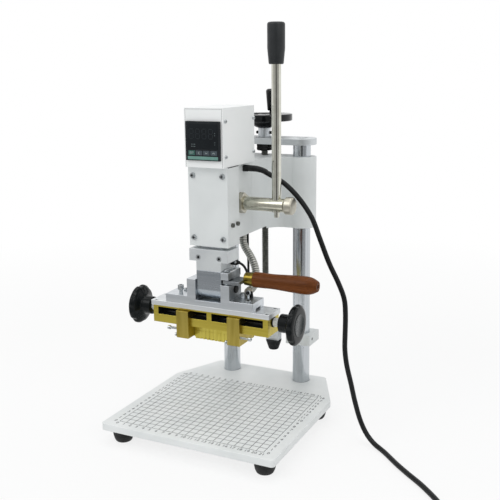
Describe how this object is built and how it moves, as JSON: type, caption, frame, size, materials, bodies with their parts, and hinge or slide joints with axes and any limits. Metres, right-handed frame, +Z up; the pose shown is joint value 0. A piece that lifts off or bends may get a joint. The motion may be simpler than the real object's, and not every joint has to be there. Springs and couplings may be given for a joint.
{
  "type": "hot foil stamping machine",
  "caption": "Bench hot foil stamping press: ruled table, columns, a handwheel-raised carriage, a lever-driven ram, a temperature controller and a heated brass type holder that tips forward.",
  "frame": {"origin": "on the floor under the middle of the base plate", "axes": "+Z up along the columns, -Y towards the user at the front, +X to the user's right, where the lever and the wooden handle are"},
  "size_m": [0.5616, 0.4146, 0.5371],
  "materials": {
    "table_paint": "satin",
    "white_paint_on_aluminium": "satin",
    "white_sheet_metal": "satin",
    "black_rubber": "matte",
    "chrome_steel": "polished",
    "dark_steel": "matte",
    "bright_steel": "satin",
    "machined_aluminium": "satin",
    "brass": "satin",
    "black_plastic": "satin",
    "key_plastic": "matte",
    "turned_wood": "satin",
    "white_ceramic": "satin",
    "cord_jacket": "satin",
    "galvanised_conduit": "satin"
  },
  "bodies": {
    "frame": {"base_plate": "table_paint", "feet": "black_rubber", "columns": "chrome_steel", "column_screws": "dark_steel", "crossbar": "white_paint_on_aluminium", "column_collars": "white_paint_on_aluminium", "stop_arm": "machined_aluminium", "stop_bumper": "black_rubber", "mains_lead": "cord_jacket", "mains_coil": "cord_jacket", "mains_plug": "black_plastic"},
    "handwheel": {"lead_screw": "dark_steel", "thrust_collar": "dark_steel", "hub_sleeve": "machined_aluminium", "handwheel": "black_plastic", "crank_pin": "bright_steel"},
    "crank": {"crank_grip": "black_plastic"},
    "carriage": {"carriage": "white_paint_on_aluminium", "ram_housing": "white_paint_on_aluminium", "front_cover": "white_paint_on_aluminium", "cover_screws": "bright_steel", "gib_screws": "dark_steel", "shaft_bush": "chrome_steel", "box_chassis": "white_sheet_metal", "box_cover": "white_sheet_metal", "box_screws": "bright_steel", "temperature_controller": "black_plastic", "mains_gland": "black_plastic", "conduit": "galvanised_conduit", "sensor_lead": "cord_jacket"},
    "set_key": {"key_set": "key_plastic"},
    "left_key": {"key_left": "key_plastic"},
    "down_key": {"key_down": "key_plastic"},
    "up_key": {"key_up": "key_plastic"},
    "lever": {"lever_shaft": "chrome_steel", "lever_rod": "chrome_steel", "lever_grip": "black_plastic", "shaft_cap": "chrome_steel"},
    "ram": {"ram": "bright_steel", "ram_block": "white_paint_on_aluminium", "block_screws": "dark_steel", "tongue": "machined_aluminium"},
    "head": {"clevis": "machined_aluminium", "clevis_screws": "bright_steel", "hinge_pin": "bright_steel", "clamp_cap": "machined_aluminium", "handle_shank": "machined_aluminium", "ferrule": "brass", "wooden_handle": "turned_wood", "heater_plate": "machined_aluminium", "plate_screws": "dark_steel", "type_holder": "brass", "type_letters": "brass", "heater_terminals": "white_ceramic"},
    "left_jaw": {"left_jaw": "brass"},
    "right_jaw": {"right_jaw": "brass"},
    "left_knob": {"left_spindle": "chrome_steel", "left_knob": "black_plastic"},
    "right_knob": {"right_spindle": "chrome_steel", "right_knob": "black_plastic"}
  },
  "joints": [
    {"name": "handwheel_spin", "type": "hinge", "parent": "frame", "child": "handwheel", "pos_m": [0, 0.113, 0.406], "axis": [0, 0, 1], "range_deg": [-10090, 610]},
    {"name": "crank_spin", "type": "hinge", "parent": "handwheel", "child": "crank", "pos_m": [0, 0.142, 0.436], "axis": [0, 0, 1], "continuous": true},
    {"name": "carriage_slide", "type": "slide", "parent": "frame", "child": "carriage", "axis": [0, 0, 1], "range_m": [-0.084, 0.005], "deforming": ["mains_lead"]},
    {"name": "set_key_press", "type": "slide", "parent": "carriage", "child": "set_key", "axis": [0, 1, 0], "range_m": [0, 0.0006], "stiffness_N_per_m": 800, "springref_m": -0.0004},
    {"name": "left_key_press", "type": "slide", "parent": "carriage", "child": "left_key", "axis": [0, 1, 0], "range_m": [0, 0.0006], "stiffness_N_per_m": 800, "springref_m": -0.0004},
    {"name": "down_key_press", "type": "slide", "parent": "carriage", "child": "down_key", "axis": [0, 1, 0], "range_m": [0, 0.0006], "stiffness_N_per_m": 800, "springref_m": -0.0004},
    {"name": "up_key_press", "type": "slide", "parent": "carriage", "child": "up_key", "axis": [0, 1, 0], "range_m": [0, 0.0006], "stiffness_N_per_m": 800, "springref_m": -0.0004},
    {"name": "lever_hinge", "type": "hinge", "parent": "carriage", "child": "lever", "pos_m": [0, -0.006, 0.312], "axis": [1, 0, 0], "range_deg": [0, 80], "stiffness_Nm_per_rad": 1, "springref_deg": -45.84},
    {"name": "ram_slide", "type": "slide", "parent": "carriage", "child": "ram", "axis": [0, 0, -1], "range_m": [0, 0.0169], "deforming": ["conduit", "sensor_lead"]},
    {"name": "head_hinge", "type": "hinge", "parent": "ram", "child": "head", "pos_m": [0, -0.0435, 0.206], "axis": [1, 0, 0], "range_deg": [-90, 0], "deforming": ["conduit", "sensor_lead"]},
    {"name": "left_knob_spin", "type": "hinge", "parent": "head", "child": "left_knob", "pos_m": [-0.1, -0.04425, 0.169], "axis": [-1, 0, 0], "range_deg": [0, 6730]},
    {"name": "left_jaw_slide", "type": "slide", "parent": "head", "child": "left_jaw", "axis": [-1, 0, 0], "range_m": [0, 0.028]},
    {"name": "right_knob_spin", "type": "hinge", "parent": "head", "child": "right_knob", "pos_m": [0.1, -0.04425, 0.169], "axis": [1, 0, 0], "range_deg": [0, 6730]},
    {"name": "right_jaw_slide", "type": "slide", "parent": "head", "child": "right_jaw", "axis": [1, 0, 0], "range_m": [0, 0.028]}
  ],
  "couplings": [
    {"joint": "handwheel_spin", "follows": "carriage_slide", "rad_per_m": 2094.4},
    {"joint": "ram_slide", "follows": "lever_hinge", "m_per_rad": 0.012},
    {"joint": "left_knob_spin", "follows": "left_jaw_slide", "rad_per_m": 4188.8},
    {"joint": "right_knob_spin", "follows": "right_jaw_slide", "rad_per_m": 4188.8}
  ]
}
